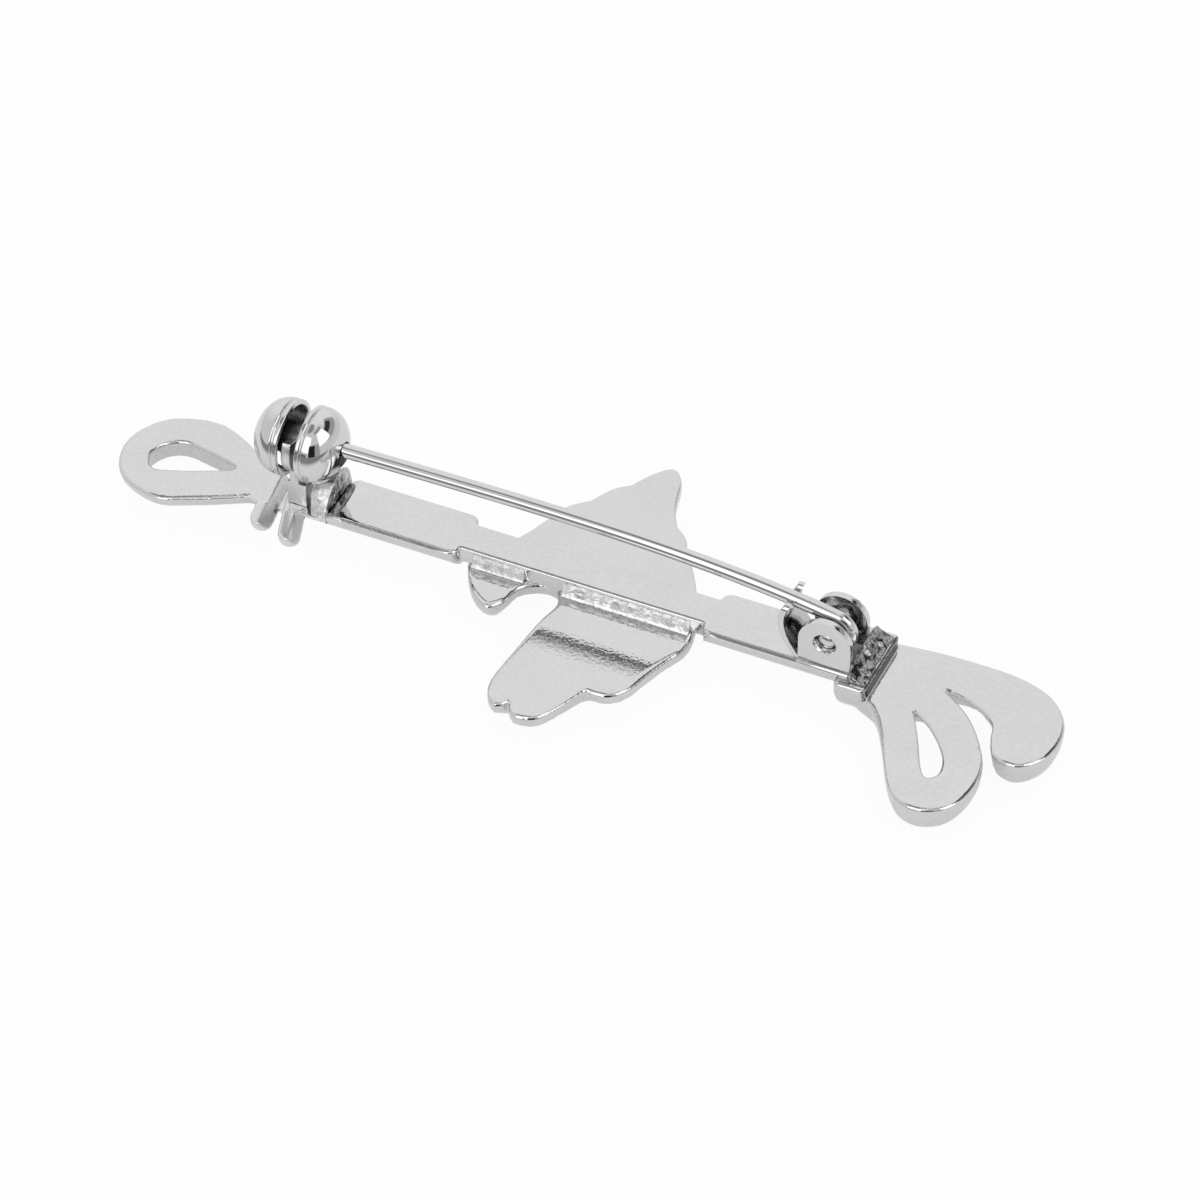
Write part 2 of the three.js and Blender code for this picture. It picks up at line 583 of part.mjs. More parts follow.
// The hinge bracket: a base strip with a rounded lip under the near cheek, two round-topped cheeks and a
// curved stop that straddles the wire
function hingeBracket() {
  const near = HINGE_OFFSET - BRACKET_WIDTH / 2;
  const far = HINGE_OFFSET + BRACKET_WIDTH / 2;
  const front = RIVET_X - CHEEK_RADIUS;
  const rear = RIVET_X + CHEEK_RADIUS;
  const floor = SOLDER_GAP;
  const cheek = new THREE.Shape();
  cheek.moveTo(front, floor);
  cheek.lineTo(rear, floor);
  cheek.lineTo(rear, RIVET_HEIGHT);
  cheek.absarc(RIVET_X, RIVET_HEIGHT, CHEEK_RADIUS, 0, Math.PI, false);
  const base = block(front, rear, near, far, floor, BRACKET_BASE);
  const lip = new THREE.Shape();
  lip.moveTo(near - BRACKET_LIP, floor);
  lip.lineTo(near + BRACKET_LIP, floor);
  lip.lineTo(near + BRACKET_LIP, floor + BRACKET_LIP);
  lip.lineTo(near, floor + BRACKET_LIP);
  lip.absarc(near, floor, BRACKET_LIP, Math.PI / 2, Math.PI, false);
  const foot = endPrism(lip, front, rear, 5);
  const cheeks = [near, far - BRACKET_SHEET].map((y) => sidePrism(cheek, y, y + BRACKET_SHEET, 16));
  const stop = new THREE.Shape();
  const stopTip = front - STOP_LEAN;
  const stopBelly = front - 2 * STOP_BELLY;
  const bellyHeight = 0.6 * STOP_HEIGHT;
  stop.moveTo(front - STOP_SHEET / 2, floor);
  stop.quadraticCurveTo(stopBelly, bellyHeight, stopTip - STOP_SHEET, STOP_HEIGHT);
  stop.lineTo(stopTip, STOP_HEIGHT);
  stop.quadraticCurveTo(stopBelly + STOP_SHEET, bellyHeight, front + STOP_SHEET / 2, floor);
  const notchHalf = WIRE_DIAMETER / 2 + NOTCH_CLEARANCE;
  const notchFloor = STOP_HEIGHT - STOP_NOTCH_DEPTH + notchHalf;
  const hornHalf = (STOP_WIDTH / 2 - notchHalf) / 2;
  const hornTop = STOP_HEIGHT - hornHalf;
  const hornAt = notchHalf + hornHalf;
  const straddle = new THREE.Shape();
  straddle.moveTo(HINGE_OFFSET - STOP_WIDTH / 2, floor);
  straddle.lineTo(HINGE_OFFSET + STOP_WIDTH / 2, floor);
  straddle.absarc(HINGE_OFFSET + hornAt, hornTop, hornHalf, 0, Math.PI, false);
  straddle.absarc(HINGE_OFFSET, notchFloor, notchHalf, 0, Math.PI, true);
  straddle.absarc(HINGE_OFFSET - hornAt, hornTop, hornHalf, 0, Math.PI, false);
  const stopFace = endPrism(straddle, front - FAR, front + STOP_SHEET, 8);
  const stopPlate = sidePrism(stop, near, far).intersect(stopFace);
  const hole = RIVET_DIAMETER / 2 + RIVET_CLEARANCE;
  const mid = BRACKET_WIDTH / 2;
  const dimple = DIMPLE_DIAMETER / 2;
  const bore = turnedAcross(points([
    [0, -mid - OVERCUT],
    [dimple, -mid - OVERCUT],
    [dimple, -mid],
    [hole, -mid + RIVET_RECESS],
    [hole, mid - RIVET_RECESS],
    [dimple, mid],
    [dimple, mid + OVERCUT],
    [0, mid + OVERCUT],
  ]));
  return join([base, foot, ...cheeks, stopPlate]).subtract(bore);
}

function hingeRivet() {
  const mid = BRACKET_WIDTH / 2;
  const radius = RIVET_DIAMETER / 2;
  return turnedAcross(points([
    [0, -mid + RIVET_RECESS - RIVET_DOME],
    [0.6 * radius, -mid + RIVET_RECESS - 0.7 * RIVET_DOME],
    [radius, -mid + RIVET_RECESS],
    [radius, mid - RIVET_RECESS],
    [0.6 * radius, mid - RIVET_RECESS + 0.7 * RIVET_DOME],
    [0, mid - RIVET_RECESS + RIVET_DOME],
  ]));
}

// Solder between the bracket and the ferrule: a hollow fillet that climbs the bracket's rear
function hingeSolder() {
  const x0 = RIVET_X + CHEEK_RADIUS + SOLDER_GAP;
  const x1 = FERRULE_RIGHT - FERRULE_EDGE / 2;
  const fillet = new THREE.Shape();
  fillet.moveTo(x0, SOLDER_GAP);
  fillet.lineTo(x1, SOLDER_GAP);
  fillet.lineTo(x1, HINGE_SOLDER_EDGE);
  fillet.quadraticCurveTo((x0 + x1) / 2, HINGE_SOLDER_EDGE, x0, HINGE_SOLDER_HEIGHT);
  return sidePrism(fillet, -HINGE_SOLDER_WIDTH / 2, HINGE_SOLDER_WIDTH / 2);
}

// The catch's fork: a foot, a stem and two horns that wrap the sleeve and leave a mouth for the wire
function catchFork() {
  const inner = SLEEVE_BORE / 2 + SLEEVE_WALL + FORK_CLEARANCE;
  const wrap = THREE.MathUtils.degToRad(FORK_WRAP);
  const tip = THREE.MathUtils.degToRad(FORK_TIP_ANGLE);
  const stem = FORK_STEM_WIDTH / 2;
  const spread = Math.acos(stem / FORK_RADIUS);
  const floor = -LASH_DROP + SOLDER_GAP;
  const fork = new THREE.Shape();
  fork.moveTo(stem, floor);
  fork.lineTo(stem, CATCH_HEIGHT - FORK_RADIUS * Math.sin(spread));
  fork.absarc(0, CATCH_HEIGHT, FORK_RADIUS, -spread, tip, false);
  fork.lineTo(inner * Math.cos(wrap), CATCH_HEIGHT + inner * Math.sin(wrap));
  fork.absarc(0, CATCH_HEIGHT, inner, wrap, -Math.PI - wrap, true);
  fork.lineTo(-FORK_RADIUS * Math.cos(tip), CATCH_HEIGHT + FORK_RADIUS * Math.sin(tip));
  fork.absarc(0, CATCH_HEIGHT, FORK_RADIUS, Math.PI - tip, Math.PI + spread, false);
  fork.lineTo(-stem, floor);
  const plateX = CATCH_X + FORK_SHIFT;
  const plate = endPrism(fork, plateX - FORK_SHEET / 2, plateX + FORK_SHEET / 2, 12);
  const half = FOOT_LENGTH / 2;
  const footTop = floor + FOOT_HEIGHT;
  const foot = block(CATCH_X - half, CATCH_X + half, -FOOT_WIDTH / 2, FOOT_WIDTH / 2, floor, footTop);
  return plate.add(foot);
}

// Solder between the catch's foot and the step at the end of the stock: a heap that leans away from the
// near side and stays clear of the ball
function catchSolder() {
  const x0 = CATCH_X + FOOT_LENGTH / 2 + SOLDER_GAP;
  const x1 = STOCK_LEFT - SOLDER_GAP;
  const floor = -LASH_DROP + SOLDER_GAP;
  const heap = new THREE.SphereGeometry(1, 20, 14);
  heap.scale(CATCH_SOLDER_BULGE * (x1 - x0), CATCH_SOLDER_WIDTH / 2, CATCH_SOLDER_HEIGHT);
  heap.rotateX(THREE.MathUtils.degToRad(-CATCH_SOLDER_LEAN));
  heap.translate(x1, 0, floor);
  const [hollowLength, hollowHeight] = CATCH_SOLDER_HOLLOW;
  const hollow = new THREE.Shape(points([
    [x0 - OVERCUT, floor - OVERCUT],
    [x0 + hollowLength, floor - OVERCUT],
    [x0 + hollowLength, floor],
    [x0, floor + hollowHeight],
    [x0 - OVERCUT, floor + hollowHeight],
  ]));
  const ball = new THREE.SphereGeometry(1, 20, 14);
  const ballReach = BALL_RADIUS + CATCH_SOLDER_CLEARANCE;
  ball.scale(BALL_DEPTH + CATCH_SOLDER_CLEARANCE, ballReach, ballReach);
  ball.translate(CATCH_X + BALL_GAP / 2, 0, CATCH_HEIGHT);
  return solid(heap)
    .intersect(block(x0, x1, -STOCK_WIDTH / 2, STOCK_WIDTH / 2, floor, FAR))
    .subtract(sidePrism(hollow, -FAR, FAR))
    .subtract(solid(ball));
}

// The slot that lets the wire out: from the catch's axis to beyond the ball, towards the bar when locked
function slotCutter() {
  const half = SLOT_WIDTH / 2;
  const reach = BALL_RADIUS + OVERCUT;
  return block(CATCH_X - FAR, CATCH_X + FAR, -half, half, CATCH_HEIGHT - reach, CATCH_HEIGHT);
}

// The sleeve that turns in the fork and ends inside the half balls
function lockSleeve() {
  const bore = SLEEVE_BORE / 2;
  const outer = bore + SLEEVE_WALL;
  const end = BALL_GAP / 2 + BALL_RIM + innerDome(outer) - BALL_CLEARANCE;
  const profile = points([[bore, -end], [outer, -end], [outer, end], [bore, end], [bore, -end]]);
  const tube = turnedAlongX(profile, new THREE.Vector3(CATCH_X, 0, CATCH_HEIGHT));
  return tube.subtract(slotCutter());
}

// How deep the inside of a half ball's dome is at a radius
function innerDome(radius) {
  const innerRadius = BALL_RADIUS - BALL_SHEET;
  return (BALL_DEPTH - BALL_RIM - BALL_SHEET) * Math.sqrt(1 - (radius / innerRadius) ** 2);
}

// A half ball: a stamped cup with a grooved rim and a hole for the wire, slotted from the hole to the rim
function lockBall(side) {
  const hole = SLEEVE_BORE / 2;
  const rim = BALL_GAP / 2;
  const domeStart = rim + BALL_RIM;
  const depth = BALL_DEPTH - BALL_RIM;
  const domeRadius = BALL_RADIUS - BALL_GROOVE / 2;
  const innerRadius = BALL_RADIUS - BALL_SHEET;
  const innerDepth = depth - BALL_SHEET;
  const arc = (radius, height, from, to) => {
    const places = [];
    for (let i = 0; i <= DOME_STEPS; i += 1) {
      const angle = from + (to - from) * i / DOME_STEPS;
      places.push([radius * Math.cos(angle), domeStart + height * Math.sin(angle)]);
    }
    return places;
  };
  const profile = points([
    [innerRadius, rim],
    [BALL_RADIUS, rim],
    [BALL_RADIUS, domeStart - BALL_GROOVE],
    [BALL_RADIUS - BALL_GROOVE, domeStart - BALL_GROOVE / 2],
    ...arc(domeRadius, depth, BALL_GROOVE / domeRadius, Math.acos(hole / domeRadius)),
    ...arc(innerRadius, innerDepth, Math.acos(hole / innerRadius), 0),
    [innerRadius, rim],
  ]);
  const turned = new THREE.LatheGeometry(profile, ROUND_STEPS);
  turned.rotateZ(-side * Math.PI / 2);
  turned.translate(CATCH_X, 0, CATCH_HEIGHT);
  return solid(turned).subtract(slotCutter());
}

const assembly = new THREE.Group();

function addPart(name, body, finish) {
  const mesh = new THREE.Mesh(geometryOf(body), new THREE.MeshStandardMaterial(finish));
  mesh.name = name;
  assembly.add(mesh);
}

addPart('whip_bar', whipBar(), CAST);
addPart('horse_head', horseHead(), CAST);
addPart('head_solder_face', headSolder(HEAD_SOLDER_FACE, -1, HEAD_SOLDER_NEAR_HEIGHT), SOLDER);
addPart('head_solder_ear', headSolder(HEAD_SOLDER_EAR, -1, HEAD_SOLDER_NEAR_HEIGHT), SOLDER);
addPart('head_solder_neck', headSolder(HEAD_SOLDER_NECK, 1, HEAD_SOLDER_FAR_HEIGHT), SOLDER);
addPart('hinge_bracket', hingeBracket(), BRIGHT);
addPart('hinge_rivet', hingeRivet(), BRIGHT);
addPart('hinge_solder', hingeSolder(), SOLDER);
addPart('pin_stem', pinStem(), BRIGHT);
addPart('catch_fork', catchFork(), CAST);
addPart('catch_solder', catchSolder(), SOLDER);
addPart('lock_sleeve', lockSleeve(), BRIGHT);
addPart('lock_ball_left', lockBall(-1), BRIGHT);
addPart('lock_ball_right', lockBall(1), BRIGHT);

// The pin lies face down: its lowest point is at z = 0, with the middle of its box at x = y = 0
const box = new THREE.Box3().setFromObject(assembly, true);
const centre = box.getCenter(new THREE.Vector3());
assembly.position.set(-centre.x, -centre.y, -box.min.z);

const group = new THREE.Group();
group.add(assembly);

export default group;
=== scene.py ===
"""Looks of a stock pin that lies on its front: a plated hunting-whip brooch with a horse head, seen from its back."""

import math

import bmesh
import bpy
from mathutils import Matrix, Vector, kdtree, noise

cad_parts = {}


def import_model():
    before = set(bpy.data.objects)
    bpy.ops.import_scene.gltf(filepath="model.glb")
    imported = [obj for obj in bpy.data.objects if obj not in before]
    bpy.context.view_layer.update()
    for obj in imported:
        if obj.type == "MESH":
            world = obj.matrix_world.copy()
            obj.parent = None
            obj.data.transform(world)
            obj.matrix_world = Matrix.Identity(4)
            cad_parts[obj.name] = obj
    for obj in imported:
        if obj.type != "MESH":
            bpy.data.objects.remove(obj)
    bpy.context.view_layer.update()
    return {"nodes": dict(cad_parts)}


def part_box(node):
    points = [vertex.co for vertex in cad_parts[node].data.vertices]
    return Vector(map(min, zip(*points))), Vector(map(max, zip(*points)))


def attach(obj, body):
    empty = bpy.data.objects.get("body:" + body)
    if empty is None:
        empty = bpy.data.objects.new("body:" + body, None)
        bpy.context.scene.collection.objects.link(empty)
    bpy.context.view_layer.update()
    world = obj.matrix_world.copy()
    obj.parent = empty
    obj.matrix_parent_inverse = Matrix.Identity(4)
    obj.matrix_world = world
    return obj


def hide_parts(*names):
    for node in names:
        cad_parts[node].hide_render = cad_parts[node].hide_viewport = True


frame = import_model()

MM = 0.001

# The design's own axes: x along the bar, y = 0 on its axis and z = 0 on its flat back.
# Places and lengths are in millimetres and angles in degrees, where nothing else is said.
RIVET = Vector((18.2, -0.5, 2.35))
CATCH = Vector((-26.25, 0, 4.5))

# Camera: where the photograph was taken from
CAMERA_AIM = Vector((0, -2.45, 0))
CAMERA_AZIMUTH = 24.82
CAMERA_ELEVATION = 42.08
CAMERA_DISTANCE = 376
CAMERA_LENS = 150
CAMERA_SENSOR = 36
CAMERA_CLIP = (10, 20000)

# Recast pieces: the largest mesh cell and the smoothing passes
CAST_MESH = (0.16, 6)
FORK_MESH = (0.06, 7)
SLEEVE_MESH = (0.06, 8)
SOLDER_MESH = (0.08, 8)
HINGE_SOLDER_MESH = (0.08, 12)
# The share of its grid that a remeshed solid fills
REMESH_SCALE = 0.99
# A point is put on a flat back when its normal is this upright and it is this near to the back, in cells
FLAT_UPRIGHT = 0.95
FLAT_NEAR = 0.3

# Eased pieces: the width of their rounded edges
BRACKET_EDGE = 0.2
RIVET_EDGE = 0.06
# The steps of a rounding, the bend from which an edge gets one, and the bend up to which faces are one flat face
EDGE_SEGMENTS = 3
EDGE_ANGLE = 35
FLAT_ANGLE = 1
# Points nearer to each other than this are one point
WELD = 0.001

# Rough surfaces: grain and height. The noise's fade, step and number of layers are the same for all
FORK_ROUGH = (0.9, 0.03)
HEAD_SOLDER_ROUGH = (0.5, 0.03)
CATCH_SOLDER_ROUGH = (0.9, 0.1)
HINGE_SOLDER_ROUGH = (1.0, 0.2)
ROUGH_LAYERS = (1.0, 2.0, 2)

# Flat backs of the castings: the stock, the lash and the hook, and the head
STOCK_BACK = 0
STRAP_BACK = -1.0
HEAD_BACK = -1.4

# Worn rims of the flat backs: width and drop
STOCK_RIM = (0.35, 0.18)
STRAP_RIM = (0.45, 0.22)
HEAD_RIM = (0.42, 0.22)
# A casting's sides: how level their normals are, and how far below the back they are looked for
SIDE_LEVEL = 0.3
SIDE_DEPTH = 0.8
# Points up to this far above a back belong to its rim, and this share of a point's depth is kept
RIM_ABOVE = 0.05
RIM_KEEP = 0.1

# The cut thong ends keep their edges and are satin: between these places along the bar, and in front of its near side
THONG_ENDS = (-31.0, -22.0)
THONG_ENDS_FRONT = -2.2

# The ferrule's right face, which steps down to the hook, is given a dark material: a painted dark reflection. Its
# faces lie this near to it along the bar, no further than this below the hook's back, and look at least this far to
# the right
FERRULE_RIGHT = 21.95
FERRULE_REACH = 0.5
FERRULE_BELOW = 0.1
FERRULE_FACING = 0.4

# The straps are rounded thin at the lower loop's eye and at the slit: these lines, and the distances from them
# within which the strap is thin and beyond which it is whole
THIN_LINES = (((26.0, -3.4), (28.95, -8.0)), ((28.2, -0.4), (31.2, -3.0)))
THIN_WITHIN = 0.9
WHOLE_BEYOND = 2.3
# The share of the depth that is gone, how far the side on the line's right leans out for each millimetre of depth,
# and how fast that lean grows with the distance from the line
THINNED = 0.75
THIN_FLARE = 0.6
FLARE_RISE = 2

# Carving on the hidden front of the head, on faces that look down at least this steeply
FRONT_FACING = -0.2
# The horse's eye: a ball that stands up out of a socket by this share of the socket's depth
HORSE_EYE_PLACE = (-1.5, -4.3)
HORSE_EYE_DEPTH = 0.22
HORSE_EYE_SOCKET = 1.0
HORSE_EYE_BALL = 0.55
HORSE_EYE_BALL_SHARE = 2.2
NOSTRIL_PLACE = (-2.9, -12.7)
NOSTRIL_DEPTH = 0.45
NOSTRIL_RADIUS = 0.45
# Grooves of the mouth, the edge of the cheek and the hollow of the ear: depth, start, end and width
GROOVES = (
    (0.3, (-2.2, -14.2), (0.4, -11.8), 0.25),
    (0.25, (0.2, -9.4), (5.4, -3.4), 0.35),
    (0.2, (-9.6, -3.8), (-7.6, -1.6), 0.3),
)
# The mane: its edge at y = 0, how that leans, its fade, where it starts across the bar, and that start's fade
MANE_EDGE = -3.2
MANE_LEAN = 0.22
MANE_FADE = 1.2
MANE_START = -0.6
MANE_START_FADE = 1.5
# Its strands: depth, pitch, the direction across them, and their wave
STRAND_DEPTH = 0.14
STRAND_PITCH = 1.15
STRAND_ACROSS = (0.62, -0.78)
STRAND_WAVE = 0.3
STRAND_WAVE_RATE = 0.9

# Solder of the catch: faces that look this far along the bar get a darker copy of its material, a painted shade on
# that side
PAINTED_SHADE_FACING = 0.35

# Solder of the hinge: how much wider than its CAD solid it has run over the ferrule, half its width across the bar,
# how much lower it is at the ends, and how late it falls
HINGE_SOLDER_SPREAD = 1.35
HINGE_SOLDER_HALF = 3.4
HINGE_SOLDER_FALL = 0.8
HINGE_SOLDER_LATE = 4
# A lump in it
LUMP_PLACE = (21.2, 2.2)
LUMP_RADIUS = 1.2
LUMP_HEIGHT = 0.3

# Pin wire
WIRE_RADIUS = 0.575
WIRE_SIDES = 40
WIRE_SHARP = 50
# Its place above the sleeve's axis
WIRE_LIFT = 0.3
# Its point: the radius at the tip, the length, the straight run before it, how round it is and how far inside it ends
WIRE_TIP_RADIUS = 0.06
WIRE_POINT = 2.2
WIRE_POINT_RUN = 0.3
WIRE_POINT_ROUND = 1.3
WIRE_POINT_SETBACK = 0.5
WIRE_POINT_STEPS = 12
# Faces of the wire that look down this steeply lie towards the bar and get the dark material: painted shade on the
# underside, which also darkens its reflection in the plate below
WIRE_UNDERSIDE = -0.8
# The eye round the rivet
WIRE_EYE_RADIUS = 1.325
WIRE_EYE_STEPS = 60
# The bow: its slopes at the eye and at the catch, and how far each is held
BOW_LEAVE_ANGLE = 10.5
BOW_LEAVE_PULL = 12
BOW_ARRIVE_ANGLE = 1.2
BOW_ARRIVE_PULL = 16
BOW_STEPS = 120

# Half balls
BALL_RADIUS = 3.05
BALL_DEPTH = 2.95
BALL_SHEET = 0.45
BALL_GAP = 1.5
BALL_HOLE = 0.925
BALL_EDGE = 0.1
BALL_SHARP = 40
# The rim, with a groove that starts at this share of it
BALL_RIM = 0.6
BALL_GROOVE = 0.14
BALL_GROOVE_START = 0.4
# Steps round the ball, and along its section
BALL_STEPS = 160
BALL_EDGE_STEPS = 6
BALL_RIM_STEPS = 12
BALL_OUTER_STEPS = 48
BALL_INNER_STEPS = 24

# Slot that lets the wire out, and how far its cutter reaches along the sleeve and past the ball
SLOT_WIDTH = 1.45
SLOT_REACH = 5
SLOT_PAST = 1
BOX_FACES = [(0, 1, 3, 2), (4, 6, 7, 5), (0, 4, 5, 1), (2, 3, 7, 6), (0, 2, 6, 4), (1, 5, 7, 3)]

# Plated metal: the noise's usual range, the sizes of gloss and tone patches in grains, the tone's range
# and the height of the grain
NOISE_RANGE = (0.3, 0.7)
GLOSS_GRAINS = 6
TONE_GRAINS = 18
TONE_RANGE = (0.985, 1.015)
GRAIN_HEIGHT = 0.02

# Table: half its side, where its near part dims and to what, and how white it is to the camera and in the metal
TABLE_HALF = 3000
TABLE_DIM_FROM = -14
TABLE_DIM_TO = -35
TABLE_TONES = (0.3, 0.95)
TABLE_SEEN_WHITE = 0.94
TABLE_MIRRORED_WHITE = 0.45

# Light tent: its own level, then what lies over it, each over the ones before.
# A disc has its direction, the angles where it is full and where it ends, and its level.
# A panel has its azimuths, its elevations, the softness of its edges and its level.
TENT_LEVEL = 0.74
TENT_DISCS = (
    ((-155, 42), (22, 60), 0.95),  # the tent's bright far side
    ((-60, 76), (12, 17), 0.3),  # a dim opening above
)
TENT_PANELS = (
    ((35, 120), (65, 75), 3, 0.35),  # a dim seam above the right window
    ((98, 164), (18, 52), 4, 0.4),  # a dim opening behind on the right
    ((98, 152), (34, 52), 3, 0.04),  # its dark core
    ((-27, 18), (13, 57), 2.5, 1.7),  # the left window
    ((60, 107), (23, 62), 2.5, 1.7),  # the right window
    ((13, 60), (-10, 33), 4, 0.4),  # a dim opening in front
    ((13, 41), (-10, 33), 3, 0.02),  # its dark core
    ((-28, 4), (-5, 7), 3, 0.15),  # the dark foot of the left window
)


def node_box_middle(node):
    low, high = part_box(node)
    return (low + high) / 2


ORIGIN = node_box_middle("hinge_rivet") - RIVET * MM


def at(x, y, z):
    """A place of the design, in the shared frame."""
    return ORIGIN + Vector((x, y, z)) * MM


def in_design(place):
    """A place of the shared frame, in the design."""
    return (place - ORIGIN) / MM


def toward(azimuth, elevation):
    """The direction from the object to a place at that azimuth and elevation."""
    a, e = math.radians(azimuth), math.radians(elevation)
    return Vector((math.sin(a) * math.cos(e), -math.cos(a) * math.cos(e), math.sin(e)))


def clamped(value):
    return max(0, min(1, value))


# Materials


class Nodes:
    """A small helper that adds shader nodes and links them by socket name."""

    def __init__(self, tree):
        self.tree = tree
        self.tree.nodes.clear()

    def set(self, socket, value):
        if isinstance(value, bpy.types.NodeSocket):
            self.tree.links.new(value, socket)
        else:
            socket.default_value = value

    def add(self, kind, settings=None, **inputs):
        node = self.tree.nodes.new(kind)
        for name, value in (settings or {}).items():
            setattr(node, name, value)
        for name, value in inputs.items():
            self.set(node.inputs[name.replace("_", " ")], value)
        return node

    def noise(self, place, scale, detail):
        made = self.add("ShaderNodeTexNoise", Vector=place, Scale=scale, Detail=detail, Roughness=0.5)
        return made.outputs["Fac"]

    def ramp(self, value, low, high, to_low, to_high):
        made = self.add("ShaderNodeMapRange", {"interpolation_type": "SMOOTHSTEP"}, Value=value,
                        From_Min=low, From_Max=high, To_Min=to_low, To_Max=to_high)
        return made.outputs["Result"]

    def math(self, operation, a, b):
        made = self.add("ShaderNodeMath", {"operation": operation})
        self.set(made.inputs[0], a)
        self.set(made.inputs[1], b)
        return made.outputs["Value"]

    def grey(self, value):
        made = self.add("ShaderNodeCombineColor", Red=value, Green=value, Blue=value)
        return made.outputs["Color"]


def plated_metal(name, grey, speckle, gloss, grain, bump):
    """Plated metal: speckled grey, uneven gloss and a fine grain. gloss is the lowest and the highest roughness,
    grain the speckle's size and bump the strength of its relief."""
    material = bpy.data.materials.new(name)
    material.use_nodes = True
    n = Nodes(material.node_tree)
    place = n.add("ShaderNodeTexCoord").outputs["Object"]
    size = grain * MM
    fine = n.noise(place, 1 / size, detail=2.0)
    broad = n.noise(place, 1 / (TONE_GRAINS * size), detail=2.0)
    speckled = n.ramp(fine, *NOISE_RANGE, grey - speckle, grey + speckle)
    tone = n.ramp(broad, *NOISE_RANGE, *TONE_RANGE)
    rough = n.ramp(n.noise(place, 1 / (GLOSS_GRAINS * size), detail=3.0), *NOISE_RANGE, *gloss)
    relief = n.add("ShaderNodeBump", Height=fine, Strength=bump, Distance=GRAIN_HEIGHT * MM)
    surface = n.add("ShaderNodeBsdfPrincipled", Base_Color=n.grey(n.math("MULTIPLY", speckled, tone)),
                    Metallic=1.0, Roughness=rough, Normal=relief.outputs["Normal"])
    n.add("ShaderNodeOutputMaterial", Surface=surface.outputs["BSDF"])
    return material


CAST = plated_metal("cast_plate", 0.7, 0.02, (0.02, 0.05), 0.3, 0.45)
BRIGHT = plated_metal("bright_plate", 0.7, 0.01, (0.02, 0.045), 0.2, 0.01)
# A darker copy of the catch's solder: painted shade on its side that looks along the bar
SOLDER_PAINTED_SHADE = plated_metal("solder_plate", 0.5, 0.16, (0.1, 0.25), 0.18, 0.6)
# A dark plate: the hinge's solder is this dark, and on the ferrule's step it is a painted dark reflection
DARK_SOLDER_AND_PAINTED_REFLECTION = plated_metal("dark_solder_and_painted_reflection", 0.3, 0.16, (0.06, 0.18), 0.18, 0.9)
TINNED = plated_metal("tinned_solder", 0.8, 0.12, (0.3, 0.5), 0.2, 0.6)
SATIN = plated_metal("satin_plate", 0.78, 0.03, (0.3, 0.45), 0.2, 0.3)
WIPED = plated_metal("wiped_solder", 0.9, 0.09, (0.25, 0.45), 0.12, 0.3)
# Painted shade for the insides of the hinge bracket
SHADED = plated_metal("shaded_plate", 0.55, 0.05, (0.1, 0.2), 0.2, 0.3)
# A dark plate of painted shade: inside the half balls, on the sleeve in the gap between them and under the wire
PAINTED_SHADE_DARK = plated_metal("painted_shade_inside", 0.24, 0.06, (0.25, 0.4), 0.12, 0.3)


# Pieces


def linked(name, data):
    """A new object of the scene."""
    obj = bpy.data.objects.new(name, data)
    bpy.context.scene.collection.objects.link(obj)
    return obj


def shown(name, mesh, body, nodes, material):
    """Links a new mesh as a piece that stands for CAD nodes."""
    obj = linked(name, mesh)
    mesh.materials.clear()
    mesh.materials.append(material)
    mesh.shade_smooth()
    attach(obj, body)
    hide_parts(*nodes)
    return obj


def faced(obj, material, chosen):
    """Gives one more material to a piece, on the faces that are chosen."""
    obj.data.materials.append(material)
    index = len(obj.data.materials) - 1
    for face in obj.data.polygons:
        if chosen(face):
            face.material_index = index


def applied(obj):
    """The mesh of an object with its modifiers in it; the object itself is removed."""
    evaluated = obj.evaluated_get(bpy.context.evaluated_depsgraph_get())
    mesh = bpy.data.meshes.new_from_object(evaluated)
    bpy.data.objects.remove(obj)
    return mesh


def normals_of(mesh):
    """The normals of a mesh's points, to be read before the points are moved."""
    return [v.normal.copy() for v in mesh.vertices]


def recast(node, cell, passes):
    """A CAD solid as a real piece of metal has it: the same form with soft edges, no facets and true flats."""
    size = cell * MM
    low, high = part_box(node)
    copy = linked("recast", frame["nodes"][node].data.copy())
    remesh = copy.modifiers.new("remesh", "REMESH")
    remesh.mode = "SHARP"
    remesh.scale = REMESH_SCALE
    remesh.octree_depth = math.ceil(math.log2(max(high - low) / size))
    smooth = copy.modifiers.new("smooth", "SMOOTH")
    smooth.iterations = passes
    mesh = applied(copy)
    backs = [at(0, 0, level).z for level in (STOCK_BACK, STRAP_BACK, HEAD_BACK)]
    for v, normal in zip(mesh.vertices, normals_of(mesh)):
        for back in backs:
            if normal.z > FLAT_UPRIGHT and abs(v.co.z - back) < FLAT_NEAR * size:
                v.co.z = back
    return mesh


def eased(node, width):
    """A CAD solid with its flat faces kept and its sharp edges rounded to that width."""
    made = bmesh.new()
    made.from_mesh(frame["nodes"][node].data)
    bmesh.ops.remove_doubles(made, verts=made.verts, dist=WELD * MM)
    bmesh.ops.dissolve_limit(made, angle_limit=math.radians(FLAT_ANGLE), verts=made.verts, edges=made.edges)
    mesh = bpy.data.meshes.new("eased")
    made.to_mesh(mesh)
    made.free()
    copy = linked("eased", mesh)
    mesh.shade_smooth()
    bevel = copy.modifiers.new("edges", "BEVEL")
    bevel.width = width * MM
    bevel.segments = EDGE_SEGMENTS
    bevel.limit_method = "ANGLE"
    bevel.angle_limit = math.radians(EDGE_ANGLE)
    bevel.harden_normals = True
    return applied(copy)


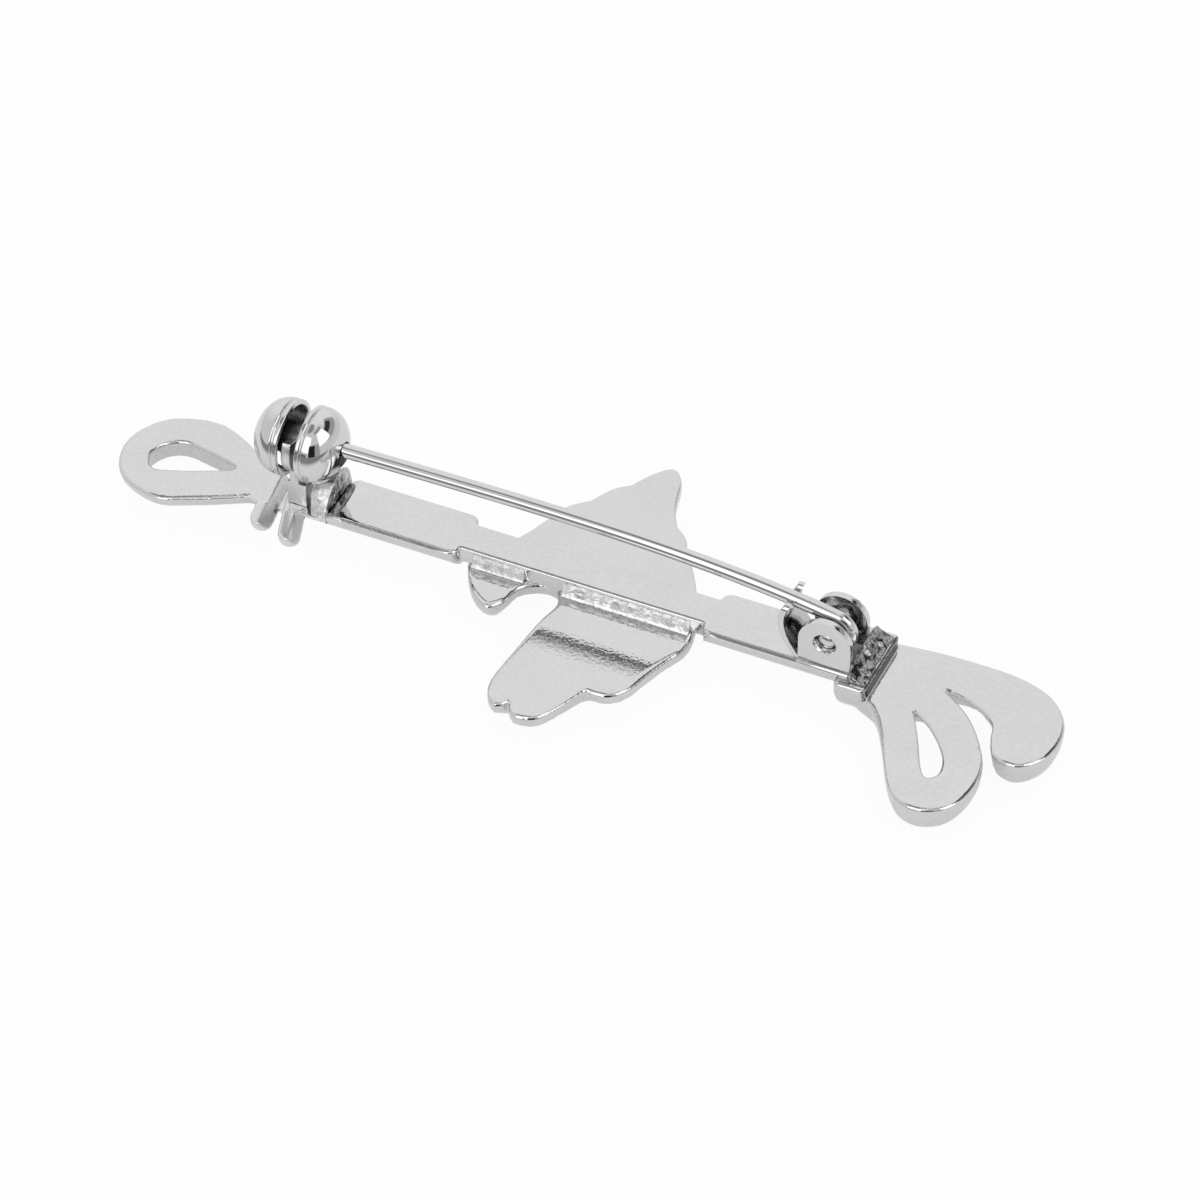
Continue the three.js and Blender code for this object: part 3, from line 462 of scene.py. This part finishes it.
def roughened(mesh, grain, height):
    """Moves a mesh's points along their normals by noise of that grain and height."""
    for v, normal in zip(mesh.vertices, normals_of(mesh)):
        v.co += normal * (height * MM) * noise.fractal(v.co / (grain * MM), *ROUGH_LAYERS)
    return mesh


def mesh_of(verts, faces):
    mesh = bpy.data.meshes.new("piece")
    mesh.from_pydata([tuple(v) for v in verts], [], faces)
    return mesh


def angles_round(steps):
    return [2 * math.pi * k / steps for k in range(steps)]


def swept(rings, closed):
    """A skin over rings of points with equal counts. A closed run of rings joins its last to its first."""
    count = len(rings[0])
    verts = [v for ring in rings for v in ring]
    faces = []
    for i in range(len(rings) if closed else len(rings) - 1):
        a, b = i * count, (i + 1) % len(rings) * count
        for j in range(count):
            k = (j + 1) % count
            faces.append((a + j, a + k, b + k, b + j))
    if not closed:
        faces.append(tuple(range(count))[::-1])
        faces.append(tuple(range(len(verts) - count, len(verts))))
    return mesh_of(verts, faces)


def faces_outward(mesh):
    made = bmesh.new()
    made.from_mesh(mesh)
    bmesh.ops.recalc_face_normals(made, faces=made.faces)
    made.to_mesh(mesh)
    made.free()
    return mesh


def bump(x, y, cx, cy, radius):
    """A soft round bump of height 1."""
    return math.exp(-((x - cx) ** 2 + (y - cy) ** 2) / radius ** 2)


def nearest_on_line(x, y, start, end):
    (ax, ay), (bx, by) = start, end
    along = clamped(((x - ax) * (bx - ax) + (y - ay) * (by - ay)) / ((bx - ax) ** 2 + (by - ay) ** 2))
    return ax + along * (bx - ax), ay + along * (by - ay)


def line_bump(x, y, start, end, width):
    """A soft ridge of height 1 along a line."""
    return bump(x, y, *nearest_on_line(x, y, start, end), width)


def in_thong_ends(place):
    x, y, _ = in_design(place)
    return THONG_ENDS[0] < x < THONG_ENDS[1] and y < THONG_ENDS_FRONT


def on_ferrule_step(face):
    x, _, z = in_design(face.center)
    near = abs(x - FERRULE_RIGHT) < FERRULE_REACH and z > STRAP_BACK - FERRULE_BELOW
    return near and face.normal.x > FERRULE_FACING


def worn(mesh, level, rim):
    """Rounds the rim of a flat back down to its sides, as tumbling wears it."""
    width, drop = (size * MM for size in rim)
    back = at(0, 0, level).z
    lowest = back - SIDE_DEPTH * MM
    sides = [v.co for v, normal in zip(mesh.vertices, normals_of(mesh))
             if abs(normal.z) < SIDE_LEVEL and lowest < v.co.z < back]
    tree = kdtree.KDTree(len(sides))
    for i, place in enumerate(sides):
        tree.insert((place.x, place.y, 0), i)
    tree.balance()
    for v in mesh.vertices:
        if back - drop < v.co.z < back + RIM_ABOVE * MM and not in_thong_ends(v.co):
            share = max(0, 1 - tree.find((v.co.x, v.co.y, 0))[2] / width)
            fall = drop * (1 - math.sqrt(1 - share * share))
            # With some depth kept, the rows of points on a side don't fall on one line
            v.co.z = min(v.co.z, back - fall - RIM_KEEP * (back - v.co.z))


def carving(x, y):
    """How deep the horse's face and mane are cut into the front of the head."""
    socket = bump(x, y, *HORSE_EYE_PLACE, HORSE_EYE_SOCKET)
    depth = HORSE_EYE_DEPTH * (socket - HORSE_EYE_BALL_SHARE * bump(x, y, *HORSE_EYE_PLACE, HORSE_EYE_BALL))
    depth += NOSTRIL_DEPTH * bump(x, y, *NOSTRIL_PLACE, NOSTRIL_RADIUS)
    for groove_depth, start, end, width in GROOVES:
        depth += groove_depth * line_bump(x, y, start, end, width)
    mane = clamped((MANE_EDGE + MANE_LEAN * y - x) / MANE_FADE) * clamped((y - MANE_START) / MANE_START_FADE)
    across = STRAND_ACROSS[0] * x + STRAND_ACROSS[1] * y + STRAND_WAVE * math.sin(STRAND_WAVE_RATE * x)
    depth += STRAND_DEPTH * mane * math.sin(2 * math.pi * across / STRAND_PITCH)
    return depth


def carved_head():
    mesh = recast("horse_head", *CAST_MESH)
    for v, normal in zip(mesh.vertices, normals_of(mesh)):
        place = in_design(v.co)
        if normal.z < FRONT_FACING:
            v.co.z += carving(place.x, place.y) * MM * min(1, -normal.z)
    worn(mesh, HEAD_BACK, HEAD_RIM)
    return mesh


def whip_casting():
    """The bar, with its straps rounded thin at the lower loop's eye and at the slit."""
    mesh = recast("whip_bar", *CAST_MESH)
    for v in mesh.vertices:
        x, y, z = in_design(v.co)
        for line in THIN_LINES:
            near_x, near_y = nearest_on_line(x, y, *line)
            out = Vector((x - near_x, y - near_y))
            share = clamped((WHOLE_BEYOND - out.length) / (WHOLE_BEYOND - THIN_WITHIN))
            if z < STRAP_BACK and share > 0:
                z = STRAP_BACK + (z - STRAP_BACK) * (1 - THINNED * share)
                shift = out.normalized() * THIN_FLARE * (STRAP_BACK - z) * share * clamped(FLARE_RISE * out.x)
                x, y = x + shift.x, y + shift.y
        v.co = at(x, y, z)
    worn(mesh, STOCK_BACK, STOCK_RIM)
    worn(mesh, STRAP_BACK, STRAP_RIM)
    return mesh


def castings():
    bar = shown("whip_bar_casting", whip_casting(), "brooch", ["whip_bar"], CAST)
    faced(bar, SATIN, lambda face: in_thong_ends(face.center))
    # Painted reflection: the ferrule's step gets the dark material
    faced(bar, DARK_SOLDER_AND_PAINTED_REFLECTION, on_ferrule_step)
    shown("horse_head_casting", carved_head(), "brooch", ["horse_head"], CAST)
    fork = roughened(recast("catch_fork", *FORK_MESH), *FORK_ROUGH)
    shown("catch_fork_casting", fork, "brooch", ["catch_fork"], SATIN)


def hinge():
    bracket = shown("hinge_bracket_folded", eased("hinge_bracket", BRACKET_EDGE), "brooch", ["hinge_bracket"],
                    BRIGHT)
    middle = at(*RIVET)
    # Painted shade: the bracket's faces that look in towards the rivet get the shaded plate
    faced(bracket, SHADED, lambda face: face.normal.dot(face.center - middle) < 0)
    shown("hinge_rivet_turned", eased("hinge_rivet", RIVET_EDGE), "brooch", ["hinge_rivet"],
          BRIGHT)


def solder_runs():
    for node, rough, material in (
        ("head_solder_face", HEAD_SOLDER_ROUGH, WIPED),
        ("head_solder_ear", HEAD_SOLDER_ROUGH, WIPED),
        ("head_solder_neck", HEAD_SOLDER_ROUGH, WIPED),
        ("catch_solder", CATCH_SOLDER_ROUGH, TINNED),
    ):
        mesh = roughened(recast(node, *SOLDER_MESH), *rough)
        obj = shown(node + "_run", mesh, "brooch", [node], material)
        if node == "catch_solder":
            # Painted shade: the solder's side that looks along the bar gets the darker copy
            faced(obj, SOLDER_PAINTED_SHADE, lambda face: face.normal.x > PAINTED_SHADE_FACING)
    spread = recast("hinge_solder", *HINGE_SOLDER_MESH)
    for v in spread.vertices:
        x, y, z = in_design(v.co)
        y *= HINGE_SOLDER_SPREAD
        lump = LUMP_HEIGHT * bump(x, y, *LUMP_PLACE, LUMP_RADIUS) * clamped(z)
        lower = HINGE_SOLDER_FALL * (y / HINGE_SOLDER_HALF) ** HINGE_SOLDER_LATE
        v.co = at(x, y, (z + lump) * (1 - lower))
    shown("hinge_solder_run", roughened(spread, *HINGE_SOLDER_ROUGH), "brooch", ["hinge_solder"],
          DARK_SOLDER_AND_PAINTED_REFLECTION)


def ball_profile():
    """A half ball's section as radius and place along its axis, from the rim's inner edge round to it again."""
    inner, depth = BALL_RADIUS - BALL_SHEET, BALL_DEPTH - BALL_RIM
    mouth = BALL_GAP / 2
    rounded, start = mouth + BALL_EDGE, mouth + BALL_RIM
    places = [(inner + BALL_EDGE, mouth)]
    for i in range(BALL_EDGE_STEPS + 1):
        a = math.radians(90 * i / BALL_EDGE_STEPS)
        places.append((BALL_RADIUS - BALL_EDGE + BALL_EDGE * math.sin(a), rounded - BALL_EDGE * math.cos(a)))
    for i in range(1, BALL_RIM_STEPS):
        t = i / BALL_RIM_STEPS
        into_groove = max(0, t - BALL_GROOVE_START) / (1 - BALL_GROOVE_START)
        dip = BALL_GROOVE * max(0, math.sin(math.pi * into_groove)) ** 2
        places.append((BALL_RADIUS - dip, rounded + t * (BALL_RIM - BALL_EDGE)))
    for i in range(BALL_OUTER_STEPS + 1):
        a = i / BALL_OUTER_STEPS * math.acos(BALL_HOLE / BALL_RADIUS)
        places.append((BALL_RADIUS * math.cos(a), start + depth * math.sin(a)))
    for i in range(BALL_INNER_STEPS + 1):
        a = (1 - i / BALL_INNER_STEPS) * math.acos(BALL_HOLE / inner)
        places.append((inner * math.cos(a), start + (depth - BALL_SHEET) * math.sin(a)))
    places.append((inner, rounded))
    return places


def slotted(mesh):
    """Cuts the slot that lets the wire out, towards the bar when locked."""
    half = SLOT_WIDTH / 2
    low = CATCH + Vector((-SLOT_REACH, -half, -BALL_RADIUS - SLOT_PAST))
    high = CATCH + Vector((SLOT_REACH, half, 0))
    corners = [at(x, y, z) for x in (low.x, high.x) for y in (low.y, high.y) for z in (low.z, high.z)]
    cutter = linked("slot", faces_outward(mesh_of(corners, BOX_FACES)))
    blank = linked("blank", mesh)
    cut = blank.modifiers.new("slot", "BOOLEAN")
    cut.operation = "DIFFERENCE"
    cut.solver = "EXACT"
    cut.object = cutter
    made = applied(blank)
    bpy.data.objects.remove(cutter)
    return made


def half_ball(side):
    rings = []
    for radius, along in ball_profile():
        rings.append([at(CATCH.x + side * along, CATCH.y + radius * math.cos(a), CATCH.z + radius * math.sin(a))
                      for a in angles_round(BALL_STEPS)])
    return slotted(faces_outward(swept(rings, True)))


def lock():
    for node, side in (("lock_ball_left", -1), ("lock_ball_right", 1)):
        obj = shown(node + "_stamped", half_ball(side), "lock", [node], BRIGHT)
        obj.data.set_sharp_from_angle(angle=math.radians(BALL_SHARP))
        # Painted shade: the inside of the half ball gets the dark material
        middle = at(CATCH.x + side * (BALL_GAP / 2 + BALL_RIM), CATCH.y, CATCH.z)
        faced(obj, PAINTED_SHADE_DARK, lambda face: face.normal.dot(face.center - middle) < 0)
    # Painted shade: the sleeve, seen in the gap between the balls, gets the dark material
    shown("lock_sleeve_drawn", recast("lock_sleeve", *SLEEVE_MESH), "lock", ["lock_sleeve"], PAINTED_SHADE_DARK)


def stem_points():
    """The wire's middle line with its radius at each place: round the eye, along the bow and to the point."""
    leave, arrive = math.radians(BOW_LEAVE_ANGLE), math.radians(BOW_ARRIVE_ANGLE)
    end = math.pi / 2 - leave
    run = []
    for i in range(WIRE_EYE_STEPS):
        a = -math.pi + (end + math.pi) * i / WIRE_EYE_STEPS
        run.append(RIVET + Vector((math.cos(a), 0, math.sin(a))) * WIRE_EYE_RADIUS)
    start = RIVET + Vector((math.cos(end), 0, math.sin(end))) * WIRE_EYE_RADIUS
    height = CATCH.z + WIRE_LIFT
    stop = Vector((CATCH.x + BALL_GAP / 2 + BALL_DEPTH, 0, height))
    pull_start = start + Vector((-math.cos(leave), 0, math.sin(leave))) * BOW_LEAVE_PULL
    pull_stop = stop + Vector((math.cos(arrive), 0, math.sin(arrive))) * BOW_ARRIVE_PULL
    for i in range(BOW_STEPS + 1):
        t = i / BOW_STEPS
        near_start = (1 - t) ** 3 * start + 3 * t * (1 - t) ** 2 * pull_start
        run.append(near_start + 3 * t * t * (1 - t) * pull_stop + t ** 3 * stop)
    tip = CATCH.x - BALL_GAP / 2 - BALL_DEPTH + WIRE_POINT_SETBACK
    points = [(p, WIRE_RADIUS) for p in run]
    points.append((Vector((tip + WIRE_POINT + WIRE_POINT_RUN, 0, height)), WIRE_RADIUS))
    for i in range(WIRE_POINT_STEPS + 1):
        t = i / WIRE_POINT_STEPS
        radius = WIRE_RADIUS + (WIRE_TIP_RADIUS - WIRE_RADIUS) * t ** WIRE_POINT_ROUND
        points.append((Vector((tip + WIRE_POINT * (1 - t), 0, height)), radius))
    return points


def stem():
    points = stem_points()
    rings = []
    for i, (place, radius) in enumerate(points):
        before, after = points[max(0, i - 1)][0], points[min(len(points) - 1, i + 1)][0]
        along = (after - before).normalized()
        side = Vector((0, 1, 0)) - along * along.y
        side.normalize()
        up = along.cross(side)
        rings.append([at(*(place + radius * (math.cos(a) * side + math.sin(a) * up)))
                      for a in angles_round(WIRE_SIDES)])
    obj = shown("pin_stem_wire", faces_outward(swept(rings, False)), "stem", ["pin_stem"], BRIGHT)
    # Painted shade on the wire's underside, which darkens its reflection in the plate below
    faced(obj, PAINTED_SHADE_DARK, lambda face: face.normal.z < WIRE_UNDERSIDE)
    obj.data.set_sharp_from_angle(angle=math.radians(WIRE_SHARP))


# Studio


def floor():
    """A white table that dims in front of the pin, where only the metal sees it."""
    half = TABLE_HALF * MM
    mesh = mesh_of([(-half, -half, 0), (half, -half, 0), (half, half, 0), (-half, half, 0)], [(0, 1, 2, 3)])
    obj = linked("floor", mesh)
    material = bpy.data.materials.new("white_table")
    material.use_nodes = True
    n = Nodes(material.node_tree)
    ray = n.add("ShaderNodeLightPath").outputs
    place = n.add("ShaderNodeSeparateXYZ", Vector=n.add("ShaderNodeTexCoord").outputs["Object"]).outputs
    front = n.ramp(place["Y"], TABLE_DIM_TO * MM, TABLE_DIM_FROM * MM, *TABLE_TONES)
    seen = n.math("MAXIMUM", ray["Is Camera Ray"], ray["Is Transmission Ray"])
    tone = n.grey(n.math("MAXIMUM", front, seen))
    paper = n.add("ShaderNodeBsdfDiffuse", Color=tone)
    white = n.add("ShaderNodeEmission", Color=tone, Strength=1.0)
    white_seen = n.math("MULTIPLY", seen, TABLE_SEEN_WHITE)
    white_mirrored = n.math("MULTIPLY", ray["Is Glossy Ray"], TABLE_MIRRORED_WHITE)
    mix = n.add("ShaderNodeMixShader", Fac=n.math("MAXIMUM", white_seen, white_mirrored))
    n.set(mix.inputs[1], paper.outputs["BSDF"])
    n.set(mix.inputs[2], white.outputs["Emission"])
    n.add("ShaderNodeOutputMaterial", Surface=mix.outputs["Shader"])
    mesh.materials.append(material)


def world():
    """A white light tent with two bright windows and dark openings."""
    made = bpy.data.worlds.new("tent")
    bpy.context.scene.world = made
    made.use_nodes = True
    n = Nodes(made.node_tree)
    place = n.add("ShaderNodeTexCoord").outputs["Generated"]
    axes = n.add("ShaderNodeSeparateXYZ", Vector=place).outputs
    azimuth = n.math("ARCTAN2", axes["X"], n.math("MULTIPLY", axes["Y"], -1.0))
    elevation = n.math("ARCSINE", axes["Z"], 0.0)

    def between(angle, low, high, soft):
        rise = n.ramp(angle, math.radians(low - soft), math.radians(low + soft), 0.0, 1.0)
        fall = n.ramp(angle, math.radians(high - soft), math.radians(high + soft), 1.0, 0.0)
        return n.math("MULTIPLY", rise, fall)

    def panel(azimuths, elevations, soft):
        return n.math("MULTIPLY", between(azimuth, *azimuths, soft), between(elevation, *elevations, soft))

    def disc(direction, full, end):
        dot = n.add("ShaderNodeVectorMath", {"operation": "DOT_PRODUCT"})
        n.set(dot.inputs[0], place)
        n.set(dot.inputs[1], toward(*direction))
        return n.ramp(dot.outputs["Value"], math.cos(math.radians(end)), math.cos(math.radians(full)), 0.0, 1.0)

    layers = [(disc(direction, *angles), level) for direction, angles, level in TENT_DISCS]
    layers += [(panel(azimuths, elevations, soft), level) for azimuths, elevations, soft, level in TENT_PANELS]
    light = TENT_LEVEL
    for share, level in layers:
        keep = n.math("MULTIPLY", light, n.math("SUBTRACT", 1.0, share))
        light = n.math("ADD", keep, n.math("MULTIPLY", share, level))
    sky = n.add("ShaderNodeBackground", Color=n.grey(light), Strength=1.0)
    n.add("ShaderNodeOutputWorld", Surface=sky.outputs["Background"])


def camera():
    data = bpy.data.cameras.new("camera")
    data.lens = CAMERA_LENS
    data.sensor_width = CAMERA_SENSOR
    data.clip_start, data.clip_end = (distance * MM for distance in CAMERA_CLIP)
    obj = linked("camera", data)
    back = toward(CAMERA_AZIMUTH, CAMERA_ELEVATION)
    obj.location = at(*CAMERA_AIM) + back * (CAMERA_DISTANCE * MM)
    obj.rotation_euler = (-back).to_track_quat("-Z", "Y").to_euler()
    bpy.context.scene.camera = obj


castings()
hinge()
solder_runs()
lock()
stem()
floor()
world()
camera()
bpy.context.scene.view_settings.view_transform = "Standard"
